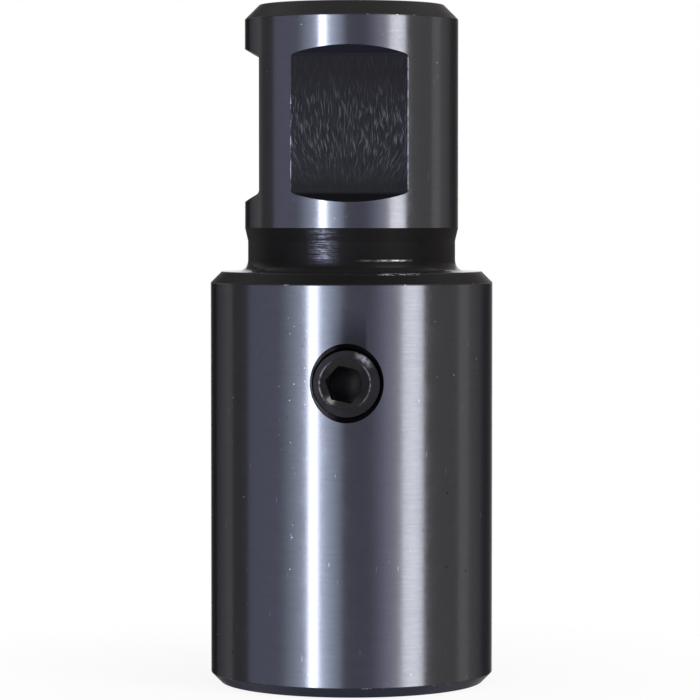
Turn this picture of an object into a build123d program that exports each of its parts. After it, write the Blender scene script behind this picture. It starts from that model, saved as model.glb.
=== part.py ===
from build123d import *
from build123d.topology import SkipClean
import math
import os

# Tap holder for a drill spindle. All sizes are in millimetres.
# Z is the turning axis and the shank points up. The origin is the middle of the tap end.
# The set screw and the first flat face -Y, and the second flat faces -X.

# Body, the thick end that takes the tap
body_diameter = 25.2
body_height = 36.7
body_bottom_chamfer = 0.9
body_top_chamfer = 1.0

# Neck, the turned relief between body and shank
neck_diameter = 18.5
neck_height = 3.9
neck_taper_height = 1.2
neck_fillet = 1.0

# Shank, the ground end that slides up into the spindle
shank_diameter = 19.05
shank_height = 19.8
shank_chamfer = 1.3

# Two flats milled across the shank for the spindle's clamping screws
flat_depth = 1.5
flat_length = 12.05
flat_below_top = 4.7
flat_end_wall_run = 0.8
flat_corner_radius = 0.25
flat_directions = (-90, 180)

# Centre hole in the shank's top face, left from turning and grinding
centre_mouth_diameter = 5.3
centre_angle = 60
centre_pilot_diameter = 2.5
centre_pilot_depth = 3.0

# Socket in the lower end: a round bore for the tap's shank, then a square for its driving end
tap_shank_diameter = 9.0
tap_square = 7.0
square_clearance = 0.1
square_length = 10.0
broach_clearance = 0.15
bore_mouth_chamfer = 0.5
square_relief_length = 1.75
drill_point_angle = 118

# Tapped hole in the front of the body, with a countersunk mouth
screw_diameter = 6.0
screw_height = 27.25
hole_mouth_diameter = 6.86
hole_mouth_angle = 60

# Set screw with a hexagon socket and a cup point
screw_length = 8.0
screw_thread_clearance = 0.05
screw_face_depth = 0.7
screw_face_chamfer = 0.75
screw_cup_diameter = 3.0
screw_cup_angle = 120
socket_across_flats = 3.0
socket_depth = 3.5
socket_mouth_diameter = 3.8
socket_turn = 12

# Sizes that follow from those above
body_radius = body_diameter / 2
neck_radius = neck_diameter / 2
shank_radius = shank_diameter / 2
shank_bottom = body_height + neck_height
total_height = shank_bottom + shank_height
flat_top = total_height - flat_below_top
flat_bottom = flat_top - flat_length
square_size = tap_square + square_clearance
square_bottom = screw_height - square_length / 2
square_top = screw_height + square_length / 2
screw_radius = screw_diameter / 2 - screw_thread_clearance

# How far a cutting shape stands past the metal that it cuts
overrun = 1.0


def slope_run(rise, full_angle):
    """Length along the axis in which a cone of this full angle changes its radius by rise."""
    return rise / math.tan(math.radians(full_angle / 2))


def standing_cylinder(radius, bottom, top):
    """A cylinder on Z between two heights."""
    height = top - bottom
    return Pos(0, 0, bottom) * Cylinder(radius, height, align=(Align.CENTER, Align.CENTER, Align.MIN))


def standing_cone(bottom_radius, top_radius, bottom, top):
    """A cone or a frustum on Z between two heights."""
    height = top - bottom
    cone = Cone(bottom_radius, top_radius, height, align=(Align.CENTER, Align.CENTER, Align.MIN))
    return Pos(0, 0, bottom) * cone


def turned_blank():
    """Body, neck and shank as turned from one bar, with no holes and no flats.

    The shank's round face is parted level with the ends of the flats, so the finished holder
    has a full ring above the flats, two arcs between them and a full ring below them.
    """
    up_to_neck = Polyline(
        (0, 0),
        (body_radius - body_bottom_chamfer, 0),
        (body_radius, body_bottom_chamfer),
        (body_radius, body_height - body_top_chamfer),
        (body_radius - body_top_chamfer, body_height),
        (neck_radius + neck_fillet, body_height),
    )
    fillet_centre = (neck_radius + neck_fillet, body_height + neck_fillet)
    neck_root = CenterArc(fillet_centre, neck_fillet, 180, 90)
    neck_to_axis = Polyline(
        (neck_radius, body_height + neck_fillet),
        (neck_radius, shank_bottom - neck_taper_height),
        (shank_radius, shank_bottom),
        (shank_radius, flat_bottom),
        (shank_radius, flat_top),
        (shank_radius, total_height - shank_chamfer),
        (shank_radius - shank_chamfer, total_height),
        (0, total_height),
        (0, 0),
    )
    half_section = make_face(up_to_neck + neck_root + neck_to_axis)
    return revolve(Plane.XZ * half_section, Axis.Z, clean=False)


def flat_cutter(direction):
    """What the end mill takes away for the flat that faces this way, in degrees about Z."""
    floor = shank_radius - flat_depth
    outside = shank_radius + overrun
    run_out = flat_end_wall_run * (outside - floor) / flat_depth
    section = Polygon(
        (floor, flat_bottom),
        (floor, flat_top),
        (outside, flat_top + run_out),
        (outside, flat_bottom - run_out),
        align=None,
    )
    floor_corners = section.vertices().group_by(Axis.X)[0]
    section = fillet(floor_corners, flat_corner_radius)
    slab = extrude(Plane.XZ * section, shank_radius, both=True)
    return Rot(0, 0, direction) * slab


def centre_hole():
    """A centre drill's cone and pilot, sunk in the shank's top face."""
    mouth_radius = centre_mouth_diameter / 2
    pilot_radius = centre_pilot_diameter / 2
    cone_bottom = total_height - slope_run(mouth_radius - pilot_radius, centre_angle)
    pilot_bottom = cone_bottom - centre_pilot_depth
    point_bottom = pilot_bottom - slope_run(pilot_radius, drill_point_angle)
    cone = standing_cone(pilot_radius, mouth_radius, cone_bottom, total_height)
    pilot = standing_cylinder(pilot_radius, pilot_bottom, cone_bottom)
    point = standing_cone(0, pilot_radius, point_bottom, pilot_bottom)
    return cone + pilot + point


def tap_socket():
    """The round bore, the square above it and the drill's relief.

    The square's corners are cut flat, because the broach comes in through the bore.
    """
    bore_radius = tap_shank_diameter / 2
    corner_width = 2 * (bore_radius - broach_clearance)
    mouth_radius = bore_radius + bore_mouth_chamfer
    relief_top = square_top + square_relief_length
    point_top = relief_top + slope_run(square_size / 2, drill_point_angle)
    mouth = standing_cone(mouth_radius, bore_radius, 0, bore_mouth_chamfer)
    bore = standing_cylinder(bore_radius, 0, square_bottom)
    section = Rectangle(square_size, square_size)
    section &= Rot(0, 0, 45) * Rectangle(corner_width, corner_width)
    square = extrude(Plane.XY.offset(square_bottom) * section, square_length)
    relief = standing_cylinder(square_size / 2, square_top, relief_top)
    point = standing_cone(square_size / 2, 0, relief_top, point_top)
    return mouth + bore + square + relief + point


def screw_hole():
    """The hole for the set screw, from outside the body into the square, with its countersink."""
    hole_radius = screw_diameter / 2
    mouth_radius = hole_mouth_diameter / 2
    inside = body_radius
    mouth_depth = slope_run(mouth_radius - hole_radius, hole_mouth_angle)
    outer_radius = mouth_radius + overrun
    outer_rise = slope_run(overrun, hole_mouth_angle)
    hole = standing_cylinder(hole_radius, -outer_rise, inside)
    mouth = standing_cone(outer_radius, hole_radius, -outer_rise, mouth_depth)
    front = Plane(origin=(0, -body_radius, screw_height), x_dir=(1, 0, 0), z_dir=(0, 1, 0))
    return front * (hole + mouth)


def holder_body():
    """The holder itself: one turned, milled and ground piece."""
    cutters = [flat_cutter(direction) for direction in flat_directions]
    cutters += [centre_hole(), tap_socket(), screw_hole()]
    with SkipClean():
        return turned_blank().cut(*cutters)


def hexagon_socket():
    """The key's hexagon, with a coned mouth and a drill point at its bottom. It opens at z = 0."""
    corner_radius = socket_across_flats / math.sqrt(3)
    mouth_radius = socket_mouth_diameter / 2
    bottom_radius = socket_across_flats / 2
    hexagon = Rot(0, 0, socket_turn) * RegularPolygon(corner_radius, 6)
    socket = extrude(hexagon, socket_depth)
    mouth_depth = slope_run(mouth_radius, 180 - drill_point_angle)
    mouth = standing_cone(mouth_radius, 0, 0, mouth_depth)
    point_depth = socket_depth + slope_run(bottom_radius, drill_point_angle)
    point = standing_cone(bottom_radius, 0, socket_depth, point_depth)
    return socket + mouth + point


def set_screw():
    """The screw that clamps the tap's square. Its thread is a plain cylinder here."""
    cup_radius = screw_cup_diameter / 2
    cup_depth = slope_run(cup_radius, screw_cup_angle)
    half_section = Polygon(
        (0, 0),
        (screw_radius - screw_face_chamfer, 0),
        (screw_radius, screw_face_chamfer),
        (screw_radius, screw_length - (screw_radius - cup_radius)),
        (cup_radius, screw_length),
        (0, screw_length - cup_depth),
        align=None,
    )
    screw = revolve(Plane.XZ * half_section, Axis.Z) - hexagon_socket()
    face_y = -body_radius + screw_face_depth
    front = Plane(origin=(0, face_y, screw_height), x_dir=(1, 0, 0), z_dir=(0, 1, 0))
    return front * screw


os.makedirs("parts", exist_ok=True)
export_step(holder_body(), "parts/holder_body.step")
export_step(set_screw(), "parts/set_screw.step")
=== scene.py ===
import math

import bmesh
import bpy
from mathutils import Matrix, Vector


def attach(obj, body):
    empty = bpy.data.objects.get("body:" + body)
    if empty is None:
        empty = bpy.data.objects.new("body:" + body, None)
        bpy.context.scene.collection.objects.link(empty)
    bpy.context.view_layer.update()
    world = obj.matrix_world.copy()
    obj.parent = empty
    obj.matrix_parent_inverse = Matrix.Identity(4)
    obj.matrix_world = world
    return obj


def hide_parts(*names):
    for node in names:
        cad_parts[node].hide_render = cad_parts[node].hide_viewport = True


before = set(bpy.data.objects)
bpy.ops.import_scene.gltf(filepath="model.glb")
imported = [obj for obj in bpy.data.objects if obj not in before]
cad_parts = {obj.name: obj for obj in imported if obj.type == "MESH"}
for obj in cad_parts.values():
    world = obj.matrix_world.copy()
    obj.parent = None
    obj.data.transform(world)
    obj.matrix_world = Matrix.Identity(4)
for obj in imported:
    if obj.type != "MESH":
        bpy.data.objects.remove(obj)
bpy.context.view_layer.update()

# Tap holder for a drill spindle: a dark steel holder with ground bands, and its set screw.
# Sizes are in millimetres, as in the solids, and are made metres where a piece is built.
MM = 0.001

# Body, neck and shank, as turned
body_radius = 12.6
body_height = 36.7
body_bottom_chamfer = 0.9
body_top_chamfer = 1.0
neck_radius = 9.25
neck_top = 39.4
neck_fillet = 1.0
shank_radius = 9.525
shank_bottom = 40.6
total_height = 60.4
shank_chamfer = 1.3
edge_break = 0.05

# Centre hole in the top face
centre_mouth_radius = 2.65
centre_pilot_radius = 1.25
centre_cone_bottom = 57.975
centre_pilot_bottom = 54.975
centre_point = 54.224

# Flats on the shank
flat_plane = 8.025
flat_bottom = 43.65
flat_top = 55.7
flat_wall_slope = 0.8 / 1.5
flat_corner_radius = 0.25
flat_turns = (0, -90)

# Socket for the tap. A pilot is drilled, and the square is broached through it.
bore_radius = 4.5
bore_mouth_radius = 5.0
bore_mouth_chamfer = 0.5
pilot_radius = 3.4
square_half_width = 3.55
square_corner_cut = 4.35
square_bottom = 22.25
square_top = 32.25
square_lead = 0.75
relief_radius = 3.53
relief_overlap = 0.15
relief_top = 34.0
relief_point = 36.13

# Hole of the set screw, a little left of the middle as in the photograph. A shift is a
# place from the screw's axis, right and up as seen from the front. The thread starts below
# the body's surface, and the countersink's cutter runs on out above it.
screw_height = 27.25
screw_across = -0.1
hole_radius = 3.0
hole_mouth_radius = 3.43
hole_mouth_angle = 60
hole_mouth_shift = (-0.14, 0.03)
hole_plain_radius = 3.03
hole_plain_depth = 2.0
hole_plain_shift = (-0.02, 0.0)
hole_thread_start = 0.9
countersink_run = 1.5

# Set screw. Its face, its front ring and its hexagon are a little off its axis. A plain land
# comes before the thread.
screw_radius = 2.95
screw_face_y = -11.9
screw_length = 8.0
screw_face_width = 0.74
screw_face_slope = 0.03
face_ring_shift = (-0.2, -0.06)
screw_front_radius = 2.88
screw_front_shift = (-0.05, -0.08)
screw_front_depth = 0.5
screw_point_radius = 1.5
screw_cup_depth = 0.866
screw_edge_break = 0.06
land_radius = 3.1
land_width = 0.11

# Socket of the set screw: a dished mouth, the key's hexagon and a drill point
socket_mouth_radius = 2.1
socket_mouth_tip = 0.3
socket_mouth_angle = 110
socket_corner_radius = 1.732
socket_depth = 3.5
socket_turn = 12
socket_point_radius = 1.48
socket_point_overlap = 0.2
hexagon_shift = (-0.23, -0.14)

# Threads, each from one pitch of its side: (radius, height). The screw's starts ahead of its
# face, and both run past the far end.
thread_pitch = 1.0
thread_steps = 64
hole_groove_radius = 3.3
hole_thread_side = [
    (hole_radius, 0),
    (hole_radius, 0.529),
    (hole_groove_radius, 0.702),
    (hole_groove_radius, 0.827),
    (hole_radius, thread_pitch),
]
hole_thread_turns = 9
thread_root_radius = 2.387
thread_crest_radius = 3.0
screw_thread_side = [
    (thread_root_radius, 0),
    (thread_root_radius, 0.225),
    (thread_crest_radius, 0.579),
    (thread_crest_radius, 0.646),
    (thread_root_radius, thread_pitch),
]
screw_thread_turns = 12
screw_thread_start = -2

# How far a cutter stands past the metal, and how near two places count as one
overrun = 1.0
near = 0.01

# Sides of a turned piece, and the angle up to which faces are shaded as one
sides = 248
smooth_angle = 25


# Small helpers for working on a mesh by hand

def let_go():
    """Selects nothing."""
    bpy.ops.object.select_all(action="DESELECT")


def take(piece):
    """Selects this piece alone and makes it the active one."""
    let_go()
    piece.select_set(True)
    bpy.context.view_layer.objects.active = piece


def settle(piece):
    """Puts a piece's place, turn and scale into its mesh."""
    take(piece)
    bpy.ops.object.transform_apply(location=True, rotation=True, scale=True)


def newest(name):
    """The piece that was just added, with its place put into its mesh."""
    piece = bpy.context.object
    piece.name = name
    piece.data.name = name
    settle(piece)
    return piece


def edit(piece):
    """Opens a piece in edit mode."""
    take(piece)
    bpy.ops.object.mode_set(mode="EDIT")


def leave_edit():
    """Goes back to object mode."""
    bpy.ops.object.mode_set(mode="OBJECT")


def pick_verts(piece, test):
    """In edit mode, selects the points whose place in millimetres passes the test."""
    bpy.ops.mesh.select_mode(type="VERT")
    bpy.ops.mesh.select_all(action="DESELECT")
    mesh = bmesh.from_edit_mesh(piece.data)
    for vert in mesh.verts:
        vert.select_set(test(vert.co / MM))
    mesh.select_flush_mode()
    bmesh.update_edit_mesh(piece.data)


def pick_edges(piece, test):
    """In edit mode, selects the edges that pass the test."""
    bpy.ops.mesh.select_mode(type="EDGE")
    bpy.ops.mesh.select_all(action="DESELECT")
    mesh = bmesh.from_edit_mesh(piece.data)
    for edge in mesh.edges:
        edge.select_set(test(edge))
    mesh.select_flush_mode()
    bmesh.update_edit_mesh(piece.data)


def both_ends(test):
    """A test for edges: both ends, in millimetres, pass this test for points."""
    return lambda edge: all(test(vert.co / MM) for vert in edge.verts)


def rise_of(edge):
    """How far an edge climbs from end to end, in millimetres."""
    return abs(edge.verts[0].co.z - edge.verts[1].co.z) / MM


def bevel_picked(width, segments, slot=-1):
    """In edit mode, bevels the selected edges. The new faces get the material in this slot."""
    bpy.ops.mesh.bevel(offset=width * MM, segments=segments, affect="EDGES", material=slot)


def from_axis(point):
    """The distance of a point from the turning axis."""
    return math.hypot(point.x, point.y)


def on_ring(radius, height):
    """A test for the edges of one turned ring."""
    return both_ends(
        lambda point: abs(point.z - height) < near and abs(from_axis(point) - radius) < near
    )


def close_to_point(piece, height):
    """Closes the open ring that is selected to a point on the axis."""
    bpy.ops.mesh.extrude_edges_move()
    bpy.ops.mesh.select_mode(type="VERT")
    bpy.ops.mesh.merge(type="CENTER")
    mesh = bmesh.from_edit_mesh(piece.data)
    for vert in mesh.verts:
        if vert.select:
            vert.co = Vector((0, 0, height * MM))
    bmesh.update_edit_mesh(piece.data)


def turn(name, first_point, rings, last_point, around=sides):
    """Turns a closed shell on Z. Rings are (radius, height), and each end closes on the axis."""
    let_go()
    radius, height = rings[0]
    bpy.ops.mesh.primitive_circle_add(
        vertices=around, radius=radius * MM, location=(0, 0, height * MM)
    )
    piece = newest(name)
    edit(piece)
    bpy.ops.mesh.select_mode(type="EDGE")
    bpy.ops.mesh.select_all(action="SELECT")
    for next_radius, next_height in rings[1:]:
        step = (next_height - height) * MM
        bpy.ops.mesh.extrude_edges_move(TRANSFORM_OT_translate={"value": (0, 0, step)})
        grow = next_radius / radius
        bpy.ops.transform.resize(value=(grow, grow, 1), center_override=(0, 0, next_height * MM))
        radius, height = next_radius, next_height
    close_to_point(piece, last_point)
    pick_edges(piece, on_ring(*rings[0]))
    close_to_point(piece, first_point)
    bpy.ops.mesh.select_all(action="SELECT")
    bpy.ops.mesh.normals_make_consistent(inside=False)
    leave_edit()
    return piece


def cut(piece, cutter, operation="DIFFERENCE"):
    """Cuts the piece with the cutter, whose material stays on the new faces."""
    take(piece)
    modifier = piece.modifiers.new("cut", "BOOLEAN")
    modifier.operation = operation
    modifier.solver = "EXACT"
    modifier.material_mode = "TRANSFER"
    modifier.object = cutter
    bpy.ops.object.modifier_apply(modifier=modifier.name)
    bpy.data.objects.remove(cutter)


def give(piece, *materials):
    """Gives a piece these materials and no others."""
    piece.data.materials.clear()
    for material in materials:
        piece.data.materials.append(material)


# Small helpers for building a material or the world, which is called the owner here

def node(owner, kind, **settings):
    """A new node."""
    made = owner.node_tree.nodes.new(kind)
    for setting, value in settings.items():
        setattr(made, setting, value)
    return made


def link(owner, start, end):
    """Joins an output to an input."""
    owner.node_tree.links.new(start, end)


def set_inputs(made, **values):
    """Sets inputs of a node by name, with _ where the name has a space."""
    for name, value in values.items():
        made.inputs[name.replace("_", " ")].default_value = value


def maths(owner, operation, first, second=0.0):
    """One step of arithmetic on outputs or numbers."""
    made = node(owner, "ShaderNodeMath", operation=operation)
    for index, value in enumerate((first, second)):
        if isinstance(value, (int, float)):
            made.inputs[index].default_value = value
        else:
            link(owner, value, made.inputs[index])
    return made.outputs[0]


def plus(owner, first, second):
    return maths(owner, "ADD", first, second)


def minus(owner, first, second):
    return maths(owner, "SUBTRACT", first, second)


def larger(owner, first, second):
    return maths(owner, "MAXIMUM", first, second)


def times(owner, first, *others):
    """The product of two or more values."""
    for other in others:
        first = maths(owner, "MULTIPLY", first, other)
    return first


def spread(owner, value, low, high, to_low, to_high):
    """Maps a value from one range to another, held at its ends."""
    mapped = node(owner, "ShaderNodeMapRange")
    set_inputs(mapped, From_Min=low, From_Max=high, To_Min=to_low, To_Max=to_high)
    link(owner, value, mapped.inputs["Value"])
    return mapped.outputs["Result"]


def rising(owner, value, low, high):
    """0 up to the low value, 1 from the high one."""
    return spread(owner, value, low, high, 0.0, 1.0)


def falling(owner, value, low, high):
    """1 up to the low value, 0 from the high one."""
    return spread(owner, value, low, high, 1.0, 0.0)


def band(owner, value, centre, reach):
    """1 where a value is at the centre, falling to 0 at this reach on both sides."""
    off = maths(owner, "ABSOLUTE", minus(owner, value, centre))
    return falling(owner, off, 0.0, reach)


def mix_colour(material, factor, first, second):
    """The first colour where the factor is 0, the second where it is 1."""
    made = node(material, "ShaderNodeMix", data_type="RGBA")
    link(material, factor, made.inputs["Factor"])
    for name, value in (("A", first), ("B", second)):
        socket = [s for s in made.inputs if s.name == name and s.type == "RGBA"][0]
        if isinstance(value, tuple):
            socket.default_value = (*value, 1)
        else:
            link(material, value, socket)
    return [s for s in made.outputs if s.type == "RGBA"][0]


def bump(material, shader, height, distance):
    """Raises the surface by the height, times this distance in metres."""
    made = node(material, "ShaderNodeBump")
    set_inputs(made, Strength=1.0, Distance=distance)
    link(material, height, made.inputs["Height"])
    link(material, made.outputs["Normal"], shader.inputs["Normal"])


def bare_material(name):
    """A material with nothing but its output, and that output's input."""
    material = bpy.data.materials.new(name)
    material.use_nodes = True
    material.node_tree.nodes.clear()
    output = node(material, "ShaderNodeOutputMaterial")
    return material, output.inputs["Surface"]


def plain_material(name, **values):
    """A material of one shader with these inputs, and that shader."""
    material, surface = bare_material(name)
    shader = node(material, "ShaderNodeBsdfPrincipled")
    set_inputs(shader, **values)
    link(material, shader.outputs[0], surface)
    return material, shader


def place_on(material):
    """The place on the object in millimetres: X, Y and Z."""
    place = node(material, "ShaderNodeTexCoord")
    scaled = node(material, "ShaderNodeVectorMath", operation="SCALE")
    set_inputs(scaled, Scale=1 / MM)
    parts = node(material, "ShaderNodeSeparateXYZ")
    link(material, place.outputs["Object"], scaled.inputs[0])
    link(material, scaled.outputs[0], parts.inputs[0])
    return parts.outputs["X"], parts.outputs["Y"], parts.outputs["Z"]


def height_of(material):
    """The height above the holder's base, in millimetres."""
    return place_on(material)[2]


def azimuth_of(material):
    """The direction round the holder in degrees: 0 at the front, more to the right."""
    right, back, up = place_on(material)
    ahead = times(material, back, -1.0)
    return maths(material, "DEGREES", maths(material, "ARCTAN2", right, ahead))


def from_face_ring(material):
    """How far right and up of the middle of the screw's face ring, in millimetres."""
    x, y, z = place_on(material)
    right = minus(material, x, screw_across + face_ring_shift[0])
    up = minus(material, z, screw_height + face_ring_shift[1])
    return right, up


def screw_distance(material):
    """The distance from the middle of the screw's face ring, in millimetres."""
    right, up = from_face_ring(material)
    squares = plus(material, times(material, right, right), times(material, up, up))
    return maths(material, "SQRT", squares)


def screw_angle(material):
    """The direction round the screw's face in degrees: 0 at its right, 90 at its top."""
    right, up = from_face_ring(material)
    return maths(material, "DEGREES", maths(material, "ARCTAN2", up, right))


def noise(material, scale, stretch=(1, 1, 1), detail=2.0, roughness=0.5, turn_by=(0, 0, 0)):
    """Noise over the object, stretched along its axes. Scale is per metre."""
    place = node(material, "ShaderNodeTexCoord")
    mapping = node(material, "ShaderNodeMapping")
    set_inputs(mapping, Rotation=turn_by, Scale=stretch)
    texture = node(material, "ShaderNodeTexNoise")
    set_inputs(texture, Scale=scale, Detail=detail, Roughness=roughness)
    link(material, place.outputs["Object"], mapping.inputs["Vector"])
    link(material, mapping.outputs["Vector"], texture.inputs["Vector"])
    return texture.outputs["Fac"]


def specks(material, per_metre, share, size):
    """Small round spots: 1 in this share of a pattern's cells, 0 elsewhere."""
    place = node(material, "ShaderNodeTexCoord")
    cells = node(material, "ShaderNodeTexVoronoi")
    set_inputs(cells, Scale=per_metre)
    link(material, place.outputs["Object"], cells.inputs["Vector"])
    chosen = maths(material, "GREATER_THAN", cells.outputs["Color"], 1 - share)
    inside = maths(material, "LESS_THAN", cells.outputs["Distance"], size)
    return times(material, chosen, inside)


# Finishes of the holder and the screw. Heights are in millimetres and directions in degrees.

black = (0.0, 0.0, 0.0)
white = (1.0, 1.0, 1.0)


def ground_steel():
    """Hardened steel, cylindrically ground: dark, glossy, with fine lines round the axis.

    It has a few scratches and specks, a cluster of pits and nicks at the front left of the
    body, and a soft darkening just above the screw's hole. Its shank has a painted sheen.
    """
    material, shader = plain_material("holder_ground", Metallic=1.0)
    set_inputs(shader, Specular_Tint=(0.35, 0.35, 0.36, 1))
    set_inputs(shader, Anisotropic=0.5, Anisotropic_Rotation=0.25)
    tangent = node(material, "ShaderNodeTangent", direction_type="RADIAL", axis="Z")
    link(material, tangent.outputs[0], shader.inputs["Tangent"])
    height = height_of(material)
    azimuth = azimuth_of(material)

    lines = noise(material, 1.0, stretch=(500, 500, 9000), detail=3.0, roughness=0.6)
    tone = rising(material, lines, 0.25, 0.75)
    colour = mix_colour(material, tone, (0.092, 0.096, 0.108), (0.105, 0.110, 0.122))
    upright = noise(material, 1.0, stretch=(6500, 6500, 700), detail=1.0, turn_by=(0.2, 0.15, 0))
    scratches = spread(material, upright, 0.78, 0.8, 0.0, 0.6)
    colour = mix_colour(material, scratches, colour, (0.3, 0.31, 0.33))
    light_specks = specks(material, 700, share=0.3, size=0.055)
    colour = mix_colour(material, light_specks, colour, (0.4, 0.41, 0.43))
    dark_specks = specks(material, 560, share=0.3, size=0.05)
    colour = mix_colour(material, dark_specks, colour, (0.02, 0.02, 0.022))

    cluster = times(
        material,
        band(material, azimuth, centre=-23.5, reach=9.0),
        band(material, height, centre=27.0, reach=9.0),
    )
    pits = times(material, cluster, specks(material, 2300, share=0.5, size=0.16))
    colour = mix_colour(material, pits, colour, (0.015, 0.015, 0.016))
    nicks = times(material, cluster, specks(material, 2000, share=0.4, size=0.14))
    colour = mix_colour(material, nicks, colour, (0.4, 0.41, 0.42))

    # A soft darkening of the colour just above the screw's hole.
    darker_above_hole = times(
        material,
        rising(material, azimuth, -8.5, -2.0),
        falling(material, azimuth, 6.6, 7.6),
        spread(material, height, 30.8, 33.7, 0.53, 0.0),
        maths(material, "GREATER_THAN", height, screw_height),
    )
    colour = mix_colour(material, darker_above_hole, colour, (0.0, 0.002, 0.0))
    # Painted sheen: the shank's colour is lifted a little towards white.
    on_shank = maths(material, "GREATER_THAN", height, shank_bottom - 0.5)
    shank_painted_sheen = times(material, on_shank, 0.008)
    colour = mix_colour(material, shank_painted_sheen, colour, white)
    link(material, colour, shader.inputs["Base Color"])

    cloud = noise(material, 450, detail=3.0, roughness=0.6)
    grain = noise(material, 3500, detail=1.0)
    rough = plus(
        material,
        spread(material, cloud, 0.3, 0.7, 0.17, 0.22),
        spread(material, grain, 0.3, 0.7, -0.02, 0.02),
    )
    link(material, rough, shader.inputs["Roughness"])
    bump(material, shader, lines, 0.0000007)
    return material


def turned_black():
    """Turned and left black from hardening: chamfers, neck, shoulder and end faces.

    A painted highlight lights fine lines on the neck at its front left. Painted glints run at the
    front right, where the fillet meets the neck and on the chamfer below, and the shoulder has
    a painted sheen. The tap end is bluish.
    """
    material, shader = plain_material("holder_turned", Specular_IOR_Level=0.09)
    height = height_of(material)
    azimuth = azimuth_of(material)
    lines = noise(material, 1.0, stretch=(500, 500, 15000), detail=1.0)
    dots = noise(material, 1.0, stretch=(2600, 2600, 9000), detail=2.0, roughness=0.7)
    cloud = noise(material, 600, detail=3.0, roughness=0.6)

    colour = mix_colour(material, cloud, (0.0012, 0.0009, 0.0009), (0.003, 0.0025, 0.0026))
    shank_end = rising(material, height, 58.5, 59.0)
    colour = mix_colour(material, shank_end, colour, (0.011, 0.0095, 0.0095))
    bluing = falling(material, height, 1.2, 6.0)
    colour = mix_colour(material, bluing, colour, (0.007, 0.009, 0.024))

    # Painted highlight: fine lines on the neck at its front left, lit where the left strip's
    # highlight falls.
    neck_highlight = times(
        material,
        rising(material, band(material, azimuth, centre=-14.3, reach=10.0), 0.0, 0.9),
        rising(material, band(material, height, centre=39.1, reach=1.8), 0.0, 0.3),
    )
    streaks = times(
        material,
        rising(material, lines, 0.44, 0.56),
        spread(material, dots, 0.4, 0.56, 0.3, 1.0),
    )
    wear_and_sheen = times(material, neck_highlight, spread(material, streaks, 0.0, 1.0, 0.12, 1.0))
    colour = mix_colour(material, wear_and_sheen, colour, (0.07, 0.072, 0.096))

    # Painted glints at the front right: a line where the fillet meets the neck, and one on the
    # chamfer below.
    fillet_glint = times(
        material,
        band(material, height, centre=37.75, reach=0.12),
        rising(material, band(material, azimuth, centre=20, reach=17), 0.0, 0.5),
        spread(material, dots, 0.42, 0.52, 0.15, 1.0),
        spread(material, azimuth, 14.0, 20.0, 0.4, 1.0),
    )
    chamfer_glint = times(
        material,
        band(material, height, centre=36.59, reach=0.1),
        rising(material, band(material, azimuth, centre=22, reach=10), 0.0, 0.4),
        rising(material, dots, 0.44, 0.56),
    )
    painted_glints = larger(material, fillet_glint, chamfer_glint)
    colour = mix_colour(material, painted_glints, colour, (0.35, 0.35, 0.36))
    # Painted sheen: the shoulder's colour is lifted a little towards white.
    shoulder_painted_sheen = times(material, band(material, height, centre=36.8, reach=0.3), 0.012)
    colour = mix_colour(material, shoulder_painted_sheen, colour, white)
    link(material, colour, shader.inputs["Base Color"])
    link(material, larger(material, wear_and_sheen, painted_glints), shader.inputs["Metallic"])

    on_neck = times(
        material, rising(material, height, 37.2, 37.6), falling(material, height, 40.6, 40.8)
    )
    rough = plus(
        material, spread(material, cloud, 0.3, 0.7, 0.34, 0.42), times(material, on_neck, 0.12)
    )
    shoulder_sides = times(
        material,
        maths(material, "GREATER_THAN", height, body_height - 0.01),
        falling(material, height, 37.1, 37.6),
        rising(material, maths(material, "ABSOLUTE", azimuth), 35.0, 60.0),
    )
    smooth = larger(material, painted_glints, shoulder_sides)
    smooth = larger(material, smooth, times(material, neck_highlight, 0.6))
    rough = minus(material, rough, times(material, smooth, 0.28))
    link(material, rough, shader.inputs["Roughness"])
    bump(material, shader, lines, 0.000002)
    return material


def milled_strokes(material, x, y, z):
    """Noise drawn out into the cutter's upright strokes, which crowd in below mid height."""
    crowding_top = 49.2
    crowding_per_mm = 0.15
    waver_width = 0.6
    across_per_mm = 9.5
    along_per_mm = 0.85
    lean_per_mm = 1.8
    across = plus(material, plus(material, x, y), flat_plane)
    below = larger(material, minus(material, crowding_top, z), 0.0)
    crowding = maths(material, "POWER", times(material, below, crowding_per_mm), 2.0)
    waver = minus(material, noise(material, 900, detail=1.0), 0.5)
    waver = times(material, waver, waver_width)
    crowded = plus(material, times(material, across, plus(material, crowding, 1.0)), waver)
    along = times(material, z, along_per_mm)
    along = plus(material, along, times(material, crowded, lean_per_mm))
    place = node(material, "ShaderNodeCombineXYZ")
    link(material, times(material, crowded, across_per_mm), place.inputs["X"])
    link(material, along, place.inputs["Y"])
    strokes = node(material, "ShaderNodeTexNoise")
    set_inputs(strokes, Scale=1.0, Detail=1.5)
    link(material, place.outputs[0], strokes.inputs["Vector"])
    return strokes.outputs["Fac"]


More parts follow.
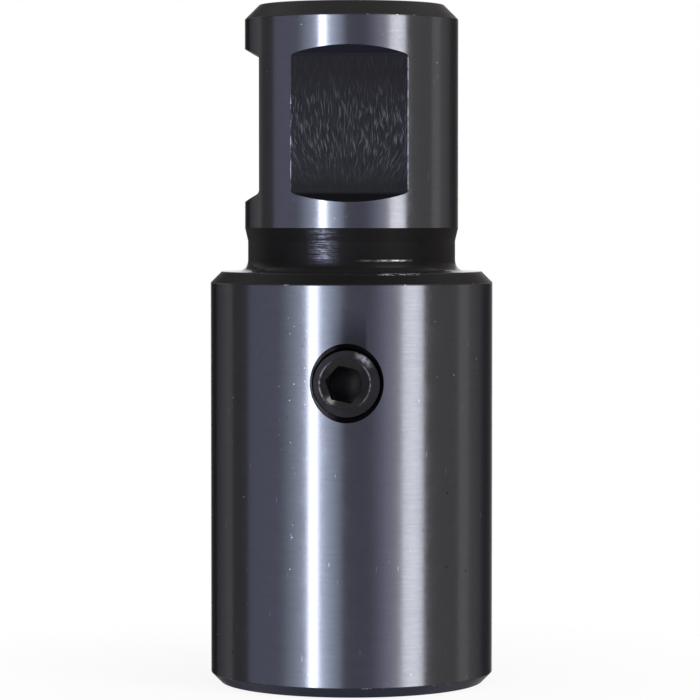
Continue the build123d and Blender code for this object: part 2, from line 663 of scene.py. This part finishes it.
def milled_black():
    """The flats: end-milled, then blackened. The strokes show in patches at mid height."""
    material, shader = plain_material("holder_milled", Specular_IOR_Level=0.12)
    x, y, z = place_on(material)
    strokes = milled_strokes(material, x, y, z)
    cloud = noise(material, 350, detail=3.0, roughness=0.6)

    colour = mix_colour(material, cloud, (0.0022, 0.0022, 0.0034), (0.0052, 0.005, 0.0072))
    middle = band(material, z, centre=48.2, reach=6.0)
    colour = mix_colour(material, middle, colour, (0.0095, 0.01, 0.0145))
    share = times(
        material,
        spread(material, noise(material, 650), 0.35, 0.65, 0.5, 1.0),
        spread(material, band(material, z, centre=48.7, reach=5.0), 0.0, 0.75, 0.1, 1.0),
    )
    dark_strokes = times(material, share, falling(material, strokes, 0.36, 0.46))
    colour = mix_colour(material, dark_strokes, colour, black)
    light_strokes = times(material, share, rising(material, strokes, 0.56, 0.64))
    colour = mix_colour(material, light_strokes, colour, (0.078, 0.08, 0.096))
    light_specks = specks(material, 800, share=0.12, size=0.06)
    colour = mix_colour(material, light_specks, colour, (0.15, 0.15, 0.17))

    top_wall = maths(material, "GREATER_THAN", z, flat_top - 0.02)
    colour = mix_colour(material, top_wall, colour, (0.013, 0.013, 0.021))
    bottom_shade = times(material, band(material, z, centre=44.2, reach=0.9), 0.6)
    colour = mix_colour(material, bottom_shade, colour, black)
    bottom_wall = maths(material, "LESS_THAN", z, flat_bottom + 0.02)
    colour = mix_colour(material, bottom_wall, colour, (0.003, 0.003, 0.004))
    link(material, colour, shader.inputs["Base Color"])
    link(material, spread(material, cloud, 0.3, 0.7, 0.42, 0.52), shader.inputs["Roughness"])
    bump(material, shader, strokes, 0.00001)
    return material


def worn_edge():
    """The broken edges of the turned rings, worn to bare steel in spots.

    A painted glint lies on the body's top edge at the front right.
    """
    material, shader = plain_material("holder_edge", Metallic=1.0, Roughness=0.3)
    spots = noise(material, 1100, detail=3.0, roughness=0.7)
    wear_and_sheen = rising(material, spots, 0.6, 0.72)
    colour = mix_colour(material, wear_and_sheen, (0.03, 0.03, 0.033), (0.25, 0.25, 0.27))
    # Painted glint on the body's top edge at the front right.
    glint = times(
        material,
        band(material, height_of(material), centre=body_height, reach=0.2),
        rising(material, band(material, azimuth_of(material), centre=23, reach=10), 0.0, 0.3),
        spread(material, spots, 0.4, 0.5, 0.2, 1.0),
    )
    colour = mix_colour(material, glint, colour, (0.6, 0.6, 0.6))
    link(material, colour, shader.inputs["Base Color"])
    return material


def nicked_edge():
    """The long edges of the flats: a fine burr at the right with a painted highlight along it,
    nicks at the left.
    """
    material, shader = plain_material("holder_nicks", Metallic=1.0, Roughness=0.35)
    # Painted highlight along the right edges, over a fine burr.
    burr_and_highlight = rising(material, azimuth_of(material), 0.0, 1.0)
    nicked = rising(material, band(material, height_of(material), centre=48.5, reach=4.5), 0.0, 0.4)
    spots = rising(material, noise(material, 1400, detail=3.0, roughness=0.7), 0.44, 0.54)
    spots = times(material, larger(material, burr_and_highlight, nicked), spots)
    spots = larger(material, spots, times(material, burr_and_highlight, 0.4))
    colour = mix_colour(material, spots, (0.04, 0.04, 0.045), (0.45, 0.45, 0.48))
    link(material, colour, shader.inputs["Base Color"])
    return material


def cloudy_black(name, per_metre, dark, light, roughness, metallic=0.0, specular=0.2):
    """A black that varies a little in soft clouds."""
    material, shader = plain_material(name, Metallic=metallic, Roughness=roughness)
    set_inputs(shader, Specular_IOR_Level=specular)
    colour = mix_colour(material, noise(material, per_metre), dark, light)
    link(material, colour, shader.inputs["Base Color"])
    return material


def socket_black():
    """Inside of the bore, the square, the centre hole and the screw hole."""
    dark, light = (0.003, 0.003, 0.005), (0.007, 0.006, 0.009)
    return cloudy_black("holder_inside", 500, dark, light, 0.5, metallic=1.0, specular=0.5)


def countersink_black():
    """The countersink of the screw's hole, with a painted reflection at its left."""
    material, shader = plain_material("holder_countersink", Roughness=0.5)
    set_inputs(shader, Specular_IOR_Level=0.04)
    off_right = maths(material, "ABSOLUTE", screw_angle(material))
    # Painted reflection: the countersink is lighter at its left.
    wear_and_sheen = times(
        material,
        rising(material, off_right, 100.0, 150.0),
        spread(material, noise(material, 1500), 0.35, 0.6, 0.4, 1.0),
    )
    colour = mix_colour(material, wear_and_sheen, (0.001, 0.001, 0.0015), (0.1, 0.1, 0.115))
    link(material, colour, shader.inputs["Base Color"])
    return material


def screw_black():
    """Black oxide with a faint sheen, and a painted glint near the upper right of the rim."""
    material, shader = plain_material("screw_oxide", Specular_IOR_Level=0.2)
    cloud = noise(material, 700, detail=3.0, roughness=0.6)
    colour = mix_colour(material, cloud, (0.0055, 0.005, 0.0055), (0.010, 0.0095, 0.011))
    # Painted glint near the upper right of the rim.
    wear_and_sheen = times(
        material,
        band(material, screw_angle(material), centre=52.0, reach=22.0),
        band(material, screw_distance(material), centre=2.7, reach=0.42),
        spread(material, noise(material, 3200), 0.38, 0.58, 0.15, 1.0),
    )
    colour = mix_colour(material, wear_and_sheen, colour, (0.42, 0.41, 0.44))
    link(material, colour, shader.inputs["Base Color"])
    link(material, wear_and_sheen, shader.inputs["Metallic"])
    link(material, spread(material, cloud, 0.3, 0.7, 0.25, 0.33), shader.inputs["Roughness"])
    bump(material, shader, noise(material, 5000), 0.000003)
    return material


def screw_edge():
    """The edge of the screw's face ring, with painted glints at both sides."""
    material, shader = plain_material("screw_edge_glints", Metallic=1.0, Roughness=0.3)
    radians = maths(material, "RADIANS", screw_angle(material))
    sideways = maths(material, "ABSOLUTE", maths(material, "COSINE", radians))
    # Painted glints on the ring's edge at its left and right.
    wear_and_sheen = times(
        material,
        rising(material, sideways, 0.45, 0.85),
        spread(material, noise(material, 3200), 0.42, 0.56, 0.2, 1.0),
    )
    colour = mix_colour(material, wear_and_sheen, (0.018, 0.017, 0.019), (0.16, 0.157, 0.16))
    link(material, colour, shader.inputs["Base Color"])
    return material


def dish_black():
    """The dished mouth of the key's hexagon, smoother than the rest."""
    return cloudy_black("screw_dish", 800, (0.003, 0.0025, 0.003), (0.007, 0.006, 0.007), 0.18)


def key_black():
    """The inside of the key's hexagon, dark with oil."""
    return cloudy_black("screw_key", 900, (0.005, 0.004, 0.004), (0.010, 0.008, 0.008), 0.45)


ground = ground_steel()
turned = turned_black()
milled = milled_black()
edge_worn = worn_edge()
edge_nicked = nicked_edge()
inside_black = socket_black()
countersink_dark = countersink_black()
screw_dark = screw_black()
screw_bright = screw_edge()
dish_dark = dish_black()
key_dark = key_black()
holder_finishes = [ground, turned, inside_black, edge_worn, edge_nicked]
screw_finishes = [screw_dark, screw_bright, dish_dark, key_dark]


# The holder

def fillet_rings(steps=8):
    """The hollow round where the neck meets the shoulder."""
    centre_radius = neck_radius + neck_fillet
    centre_height = body_height + neck_fillet
    rings = []
    for step in range(steps + 1):
        angle = math.radians(270 - 90 * step / steps)
        rings.append((
            centre_radius + neck_fillet * math.cos(angle),
            centre_height + neck_fillet * math.sin(angle),
        ))
    return rings


def turned_finish(face):
    """The finish of one face of the turned holder, by its place and direction."""
    height = face.center.z / MM
    radius = from_axis(face.center / MM)
    upright = abs(face.normal.z) < 0.01
    faces_axis = face.center.x * face.normal.x + face.center.y * face.normal.y < 0
    in_square = radius < square_half_width + 0.05 and height < relief_point
    if upright and radius > (neck_radius + shank_radius) / 2:
        return ground
    if faces_axis or in_square:
        return inside_black
    return turned


def turned_holder():
    """Body, neck and shank with the bores, before anything is milled."""
    inside = [
        (relief_radius, relief_top),
        (relief_radius, square_top - relief_overlap),
        (pilot_radius, square_top - relief_overlap),
        (pilot_radius, square_bottom),
        (bore_radius, square_bottom),
        (bore_radius, bore_mouth_chamfer),
        (bore_mouth_radius, 0),
    ]
    body_rings = [
        (body_radius - body_bottom_chamfer, 0),
        (body_radius, body_bottom_chamfer),
        (body_radius, body_height - body_top_chamfer),
        (body_radius - body_top_chamfer, body_height),
    ]
    neck_rings = [*fillet_rings(), (neck_radius, neck_top), (shank_radius, shank_bottom)]
    tip_rings = [
        (shank_radius, total_height - shank_chamfer),
        (shank_radius - shank_chamfer, total_height),
    ]
    centre_hole = [
        (centre_mouth_radius, total_height),
        (centre_pilot_radius, centre_cone_bottom),
        (centre_pilot_radius, centre_pilot_bottom),
    ]
    rings = inside + body_rings + neck_rings + tip_rings + centre_hole
    piece = turn("tap_holder", relief_point, rings, centre_point)
    give(piece, *holder_finishes)
    for face in piece.data.polygons:
        face.material_index = holder_finishes.index(turned_finish(face))
    edit(piece)
    for ring in (*body_rings, *tip_rings, centre_hole[0], inside[-1]):
        pick_edges(piece, on_ring(*ring))
        bevel_picked(edge_break, 2, holder_finishes.index(edge_worn))
    leave_edit()
    return piece


def flat_cutter(direction):
    """The block that the end mill takes away: sloping ends, and a small round at its floor."""
    let_go()
    outside = shank_radius + overrun
    depth = outside - flat_plane
    height = flat_top - flat_bottom
    middle = (flat_top + flat_bottom) / 2
    halfway = flat_plane + depth / 2
    bpy.ops.mesh.primitive_cube_add(size=1, location=(0, -halfway * MM, middle * MM))
    bpy.context.object.scale = (2 * shank_radius * MM, depth * MM, height * MM)
    cutter = newest("flat_cutter")
    edit(cutter)
    pick_verts(cutter, lambda point: point.y < -halfway)
    grow = (height + 2 * depth * flat_wall_slope) / height
    bpy.ops.transform.resize(value=(1, 1, grow), center_override=(0, -outside * MM, middle * MM))
    on_floor = both_ends(lambda point: abs(point.y + flat_plane) < near)
    pick_edges(cutter, lambda edge: on_floor(edge) and rise_of(edge) < near)
    bevel_picked(flat_corner_radius, 5)
    leave_edit()
    cutter.rotation_euler.z = math.radians(direction)
    settle(cutter)
    give(cutter, milled)
    return cutter


def square_cutter():
    """The square broach, with its corners cut flat."""
    let_go()
    bottom = square_bottom - square_lead
    height = square_top - bottom
    width = 2 * square_half_width
    bpy.ops.mesh.primitive_cube_add(size=1, location=(0, 0, (bottom + square_top) / 2 * MM))
    bpy.context.object.scale = (width * MM, width * MM, height * MM)
    cutter = newest("square_cutter")
    edit(cutter)
    pick_edges(cutter, lambda edge: rise_of(edge) > height / 2)
    bevel_picked(width - square_corner_cut * math.sqrt(2), 1)
    leave_edit()
    give(cutter, inside_black)
    return cutter


def threaded_rod(name, side, turns):
    """A long rod with a helical thread, from one pitch of its side."""
    let_go()
    bpy.ops.mesh.primitive_plane_add(size=MM)
    rod = newest(name)
    edit(rod)
    bpy.ops.mesh.select_mode(type="VERT")
    bpy.ops.mesh.select_all(action="SELECT")
    bpy.ops.mesh.merge(type="CENTER")
    bpy.ops.transform.translate(value=(side[0][0] * MM, 0, side[0][1] * MM))
    for here, there in zip(side, side[1:]):
        step = ((there[0] - here[0]) * MM, 0, (there[1] - here[1]) * MM)
        bpy.ops.mesh.extrude_vertices_move(TRANSFORM_OT_translate={"value": step})
    leave_edit()
    modifier = rod.modifiers.new("thread", "SCREW")
    modifier.axis = "Z"
    modifier.angle = math.tau
    modifier.screw_offset = thread_pitch * MM
    modifier.iterations = turns
    modifier.steps = modifier.render_steps = thread_steps
    bpy.ops.object.modifier_apply(modifier=modifier.name)
    edit(rod)
    bpy.ops.mesh.select_all(action="SELECT")
    bpy.ops.mesh.remove_doubles(threshold=near * MM)
    length = turns * thread_pitch
    lower_half = both_ends(lambda point: point.z < length / 2)
    pick_edges(rod, lambda edge: edge.is_boundary and lower_half(edge))
    close_to_point(rod, thread_pitch / 2)
    pick_edges(rod, lambda edge: edge.is_boundary and not lower_half(edge))
    close_to_point(rod, length + thread_pitch / 2)
    bpy.ops.mesh.select_all(action="SELECT")
    bpy.ops.mesh.normals_make_consistent(inside=False)
    leave_edit()
    return rod


def on_face(shift):
    """A shift, right and up on the screw's face, as a move of a piece still made on Z."""
    return Vector((shift[0] * MM, -shift[1] * MM, 0))


def lay_on_screw_axis(piece, y, shift=(0, 0)):
    """Lays a piece made on Z along the screw's axis, with its height 0 at this Y."""
    piece.rotation_euler = (math.radians(-90), 0, 0)
    piece.location = (
        (screw_across + shift[0]) * MM,
        y * MM,
        (screw_height + shift[1]) * MM,
    )
    settle(piece)


def hole_cutters():
    """The cutters of the screw's hole: a countersink with a plain mouth, then the thread.

    The thread's grooves are cut outward from the hole, behind its plain mouth.
    """
    tapped = threaded_rod("tapped_hole", hole_thread_side, hole_thread_turns)
    lay_on_screw_axis(tapped, -body_radius + hole_thread_start)
    give(tapped, inside_black)
    slope = math.tan(math.radians(hole_mouth_angle / 2))
    cone_depth = (hole_mouth_radius - hole_plain_radius) / slope
    mouth = turn("countersink", -countersink_run, [
        (hole_mouth_radius + countersink_run * slope, -countersink_run),
        (hole_plain_radius, cone_depth),
        (hole_plain_radius, hole_plain_depth),
    ], hole_plain_depth, around=96)
    edit(mouth)
    pick_verts(mouth, lambda point: point.z > cone_depth - near)
    bpy.ops.transform.translate(value=on_face(hole_plain_shift) - on_face(hole_mouth_shift))
    leave_edit()
    lay_on_screw_axis(mouth, -body_radius, hole_mouth_shift)
    give(mouth, countersink_dark)
    return [mouth, tapped]


def exact_normals(piece, materials):
    """Gives the faces turned on Z, known by material, the true direction at their corners."""
    mesh = piece.data
    normals = [(0.0, 0.0, 0.0)] * len(mesh.loops)
    for face in mesh.polygons:
        if mesh.materials[face.material_index] not in materials:
            continue
        across = Vector((face.normal.x, face.normal.y, 0))
        for loop in face.loop_indices:
            place = mesh.vertices[mesh.loops[loop].vertex_index].co
            out = Vector((place.x, place.y, 0))
            if out.length < 0.1 * MM:
                continue
            out.normalize()
            sign = 1 if out.dot(across) > 0 else -1
            normal = out * (sign * across.length)
            normal.z = face.normal.z
            normals[loop] = tuple(normal.normalized())
    mesh.normals_split_custom_set(normals)


def break_flat_edges(piece):
    """Breaks the long edges of both flats by a hair, as a stone or handling does."""
    half_width = math.sqrt(shank_radius ** 2 - flat_plane ** 2)
    half_height = (flat_top - flat_bottom) / 2

    def on_edge(point):
        front = abs(point.y + flat_plane) < near and abs(abs(point.x) - half_width) < near
        side = abs(point.x + flat_plane) < near and abs(abs(point.y) - half_width) < near
        return (front or side) and flat_bottom < point.z < flat_top

    along_flat = both_ends(on_edge)
    edit(piece)
    pick_edges(piece, lambda edge: along_flat(edge) and rise_of(edge) > half_height)
    bevel_picked(edge_break, 2, holder_finishes.index(edge_nicked))
    leave_edit()


def make_holder():
    """The holder, turned, milled, broached, drilled and tapped."""
    piece = turned_holder()
    for direction in flat_turns:
        cut(piece, flat_cutter(direction))
    break_flat_edges(piece)
    cut(piece, square_cutter())
    for cutter in hole_cutters():
        cut(piece, cutter)
    take(piece)
    bpy.ops.object.shade_smooth_by_angle(angle=math.radians(smooth_angle))
    exact_normals(piece, (ground, turned))
    return piece


# The set screw, made standing with its face at height 0 and then laid in its hole

def screw_blank():
    """The screw without its thread and socket, its face and front ring moved off its axis."""
    face_radius = screw_radius - screw_face_width
    blank = turn("set_screw_visual", 0, [
        (face_radius, 0),
        (screw_front_radius, screw_face_slope),
        (screw_radius, screw_front_depth),
        (screw_radius, screw_length - (screw_radius - screw_point_radius)),
        (screw_point_radius, screw_length),
    ], screw_length - screw_cup_depth, around=128)
    give(blank, *screw_finishes)
    edit(blank)
    pick_verts(blank, lambda point: abs(point.z) < near)
    bpy.ops.transform.translate(value=on_face(face_ring_shift))
    pick_verts(blank, lambda point: abs(point.z - screw_face_slope) < near)
    bpy.ops.transform.translate(value=on_face(screw_front_shift))
    pick_edges(blank, both_ends(
        lambda point: abs(point.z) < near and from_axis(point) > face_radius / 2
    ))
    bevel_picked(screw_edge_break, 3, screw_finishes.index(screw_bright))
    leave_edit()
    return blank


def screw_thread():
    """A threaded rod longer than the screw, plain as far as just behind the screw's front."""
    rod = threaded_rod("thread_rod", screw_thread_side, screw_thread_turns)
    rod.location.z = screw_thread_start * MM
    settle(rod)
    land_end = screw_front_depth + land_width
    land_rings = [(land_radius, -overrun), (land_radius, land_end)]
    cut(rod, turn("land", -overrun, land_rings, land_end, around=64), "UNION")
    give(rod, screw_dark)
    return rod


def key_cutters():
    """The cutters of the screw's socket, each with its place on the face."""
    slope = math.tan(math.radians(socket_mouth_angle / 2))
    mouth = turn("mouth_cutter", -overrun, [
        (socket_mouth_radius + overrun * slope, -overrun),
        (socket_mouth_tip, (socket_mouth_radius - socket_mouth_tip) / slope),
    ], socket_mouth_radius / slope, around=100)
    give(mouth, dish_dark)
    let_go()
    bpy.ops.mesh.primitive_cylinder_add(
        vertices=6,
        radius=socket_corner_radius * MM,
        depth=(socket_depth + overrun) * MM,
        location=(0, 0, (socket_depth - overrun) / 2 * MM),
        rotation=(0, 0, math.radians(socket_turn - 30)),
    )
    hexagon = newest("hexagon_cutter")
    give(hexagon, key_dark)
    point_start = socket_depth - socket_point_overlap
    point = turn("point_cutter", point_start, [
        (socket_point_radius, point_start),
        (socket_point_radius, socket_depth),
    ], socket_depth + socket_point_radius / slope, around=48)
    give(point, key_dark)
    return [(mouth, face_ring_shift), (hexagon, hexagon_shift), (point, hexagon_shift)]


def make_screw():
    """The set screw, with its thread and the key's socket, laid in its hole."""
    blank = screw_blank()
    cut(blank, screw_thread(), "INTERSECT")
    for cutter, shift in key_cutters():
        cutter.location = on_face(shift)
        settle(cutter)
        cut(blank, cutter)
    lay_on_screw_axis(blank, screw_face_y)
    take(blank)
    bpy.ops.object.shade_smooth_by_angle(angle=math.radians(smooth_angle))
    return blank


holder = make_holder()
screw = make_screw()
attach(holder, "holder")
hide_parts("holder_body")
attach(screw, "screw")
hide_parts("set_screw")


# The studio, in metres. Directions are in degrees from the front, more to the right.

card_distance = 1.1
card_reach = 0.9
strip_distance = 0.9


def glow_material(name, tone, tint, spills):
    """A plain glow for a card.

    A spill is a soft brightening: the azimuths where it starts, peaks and ends, its peak and
    the power of its fall.
    """
    material, surface = bare_material(name)
    glow = node(material, "ShaderNodeEmission")
    set_inputs(glow, Color=(*tint, 1), Strength=tone)
    link(material, glow.outputs[0], surface)
    total = tone
    for start, middle, end, peak, power in spills:
        azimuth = azimuth_of(material)
        up_to_peak = rising(material, azimuth, start, middle)
        from_peak = falling(material, azimuth, middle, end)
        shape = maths(material, "MINIMUM", up_to_peak, from_peak)
        spill = times(material, maths(material, "POWER", shape, power), peak)
        total = plus(material, spill, total)
    if spills:
        link(material, total, glow.inputs["Strength"])
    return material


def card(name, from_azimuth, to_azimuth, tone, tint, spills=()):
    """A curved card that only the metal's reflections see."""
    let_go()
    bpy.ops.mesh.primitive_circle_add(
        vertices=360, radius=card_distance, location=(0, 0, -card_reach)
    )
    piece = newest(name)
    edit(piece)
    bpy.ops.mesh.select_all(action="SELECT")
    bpy.ops.mesh.extrude_edges_move(TRANSFORM_OT_translate={"value": (0, 0, 2 * card_reach)})
    middle = (from_azimuth + to_azimuth) / 2
    half_width = (to_azimuth - from_azimuth) / 2
    margin = 0.25

    def outside(point):
        azimuth = math.degrees(math.atan2(point.x, -point.y))
        return abs((azimuth - middle + 180) % 360 - 180) > half_width + margin

    pick_verts(piece, outside)
    bpy.ops.mesh.delete(type="VERT")
    leave_edit()
    give(piece, glow_material(name, tone, tint, spills))
    piece.visible_camera = False
    piece.visible_diffuse = False
    piece.visible_transmission = False
    piece.visible_shadow = False


def area_lamp(name, place, width, height, radiance, towards):
    """A rectangular lamp of this radiance, where 1 is the white of the backdrop."""
    data = bpy.data.lights.new(name, "AREA")
    data.shape = "RECTANGLE"
    data.size = width
    data.size_y = height
    data.energy = radiance * math.pi * width * height
    lamp = bpy.data.objects.new(name, data)
    bpy.context.scene.collection.objects.link(lamp)
    lamp.location = place
    lamp.rotation_euler = (Vector(towards) - lamp.location).to_track_quat("-Z", "Y").to_euler()
    lamp.visible_camera = False


def strip_lamp(name, from_azimuth, to_azimuth, low, high, radiance):
    """A tall soft strip that faces the holder's axis."""
    angle = math.radians((from_azimuth + to_azimuth) / 2)
    half_angle = math.radians((to_azimuth - from_azimuth) / 2)
    width = 2 * strip_distance * math.tan(half_angle)
    middle = (low + high) / 2
    place = (strip_distance * math.sin(angle), -strip_distance * math.cos(angle), middle)
    area_lamp(name, place, width, high - low, radiance, towards=(0, 0, middle))


strip_lamp("left_strip", -33.7, -25.8, low=-0.45, high=0.5, radiance=10.5)
strip_lamp("right_strip", 42.6, 61.4, low=-0.45, high=0.2, radiance=3.3)
area_lamp(
    "high_right", (0.6, -0.424, 0.71), width=0.3, height=0.3, radiance=14, towards=(0, 0, 0.03)
)

blue_grey = (1.0, 0.98, 1.25)
green_grey = (0.96, 1.04, 1.26)
plain_grey = (1.02, 0.98, 1.02)
warm_grey = (1.05, 0.98, 0.94)
left_spill = (-58.5, -31, -26, 2.0, 1.0)
between_spill = (-33, -31, 5, 4.5, 1.85)
right_spill = (14, 53, 73, 2.6, 1.5)

# Cards, each from one azimuth to another, with its tone, its tint and its spills
card("left_dark_card", -112, -91.2, 0.25, plain_grey)
card("left_card", -91.2, -57, 0.62, blue_grey)
card("left_spill_card", -57, -6.5, 0.55, green_grey, (left_spill, between_spill))
card("middle_card", -6.5, 35.5, 0.44, blue_grey, (right_spill,))
card("right_spill_card", 35.5, 61, 0.5, plain_grey, (right_spill,))
card("right_card", 61, 98, 0.43, warm_grey)
card("right_line_card", 98, 112, 0.8, warm_grey)
card("right_rear_card", 112, 133, 0.55, warm_grey)
card("right_edge_card", 133, 166, 0.38, warm_grey)
card("left_rear_card", -142, -112, 0.64, warm_grey)
card("left_edge_card", -166, -142, 0.15, warm_grey)


def floor_white():
    """White to the camera, mixed near the holder with a plain white that takes its shadow."""
    material, surface = bare_material("floor_white")
    plain = node(material, "ShaderNodeBsdfPrincipled")
    set_inputs(plain, Base_Color=(0.92, 0.92, 0.92, 1), Roughness=1.0, Specular_IOR_Level=0.0)
    glow = node(material, "ShaderNodeEmission")
    set_inputs(glow, Color=(1, 1, 1, 1))
    place = node(material, "ShaderNodeTexCoord")
    reach = node(material, "ShaderNodeVectorMath", operation="LENGTH")
    link(material, place.outputs["Object"], reach.inputs[0])
    under_holder = 0.012
    past_shadow = 0.05
    whiteness = spread(material, reach.outputs["Value"], under_holder, past_shadow, 0.9, 1.0)
    path = node(material, "ShaderNodeLightPath")
    share = times(material, whiteness, path.outputs["Is Camera Ray"])
    mixed = node(material, "ShaderNodeMixShader")
    link(material, share, mixed.inputs["Fac"])
    link(material, plain.outputs[0], mixed.inputs[1])
    link(material, glow.outputs[0], mixed.inputs[2])
    link(material, mixed.outputs[0], surface)
    return material


# Floor, just below the holder's base
floor_height = -0.00002
let_go()
bpy.ops.mesh.primitive_plane_add(size=8, location=(0, 0, floor_height))
floor = newest("floor")
give(floor, floor_white())
floor.visible_glossy = False
floor.visible_shadow = False

# World: white to the camera and to reflections, a soft fill to all else
fill = 0.4
world = bpy.data.worlds.new("studio")
bpy.context.scene.world = world
world.use_nodes = True
world.node_tree.nodes.clear()
path = node(world, "ShaderNodeLightPath")
seen = plus(world, path.outputs["Is Camera Ray"], path.outputs["Is Glossy Ray"])
seen = plus(world, seen, path.outputs["Is Transmission Ray"])
background = node(world, "ShaderNodeBackground")
set_inputs(background, Color=(1, 1, 1, 1))
link(world, spread(world, seen, 0.0, 1.0, fill, 1.0), background.inputs["Strength"])
output = node(world, "ShaderNodeOutputWorld")
link(world, background.outputs[0], output.inputs["Surface"])

# Camera, level with the upper part of the holder and a little to its right
camera_distance = 0.308
camera_height = 0.042
camera_azimuth = 1.4
camera_turn = 0.0266
camera_tilt = 2.298
camera_lens = 177.07
camera_data = bpy.data.cameras.new("camera")
camera_data.sensor_width = 36
camera_data.lens = camera_lens
camera = bpy.data.objects.new("camera", camera_data)
bpy.context.scene.collection.objects.link(camera)
camera.location = (
    camera_distance * math.sin(math.radians(camera_azimuth)),
    -camera_distance * math.cos(math.radians(camera_azimuth)),
    camera_height,
)
camera.rotation_euler = (
    math.radians(90 - camera_tilt),
    0,
    math.radians(camera_azimuth + camera_turn),
)
bpy.context.scene.camera = camera

bpy.context.scene.view_settings.view_transform = "Standard"
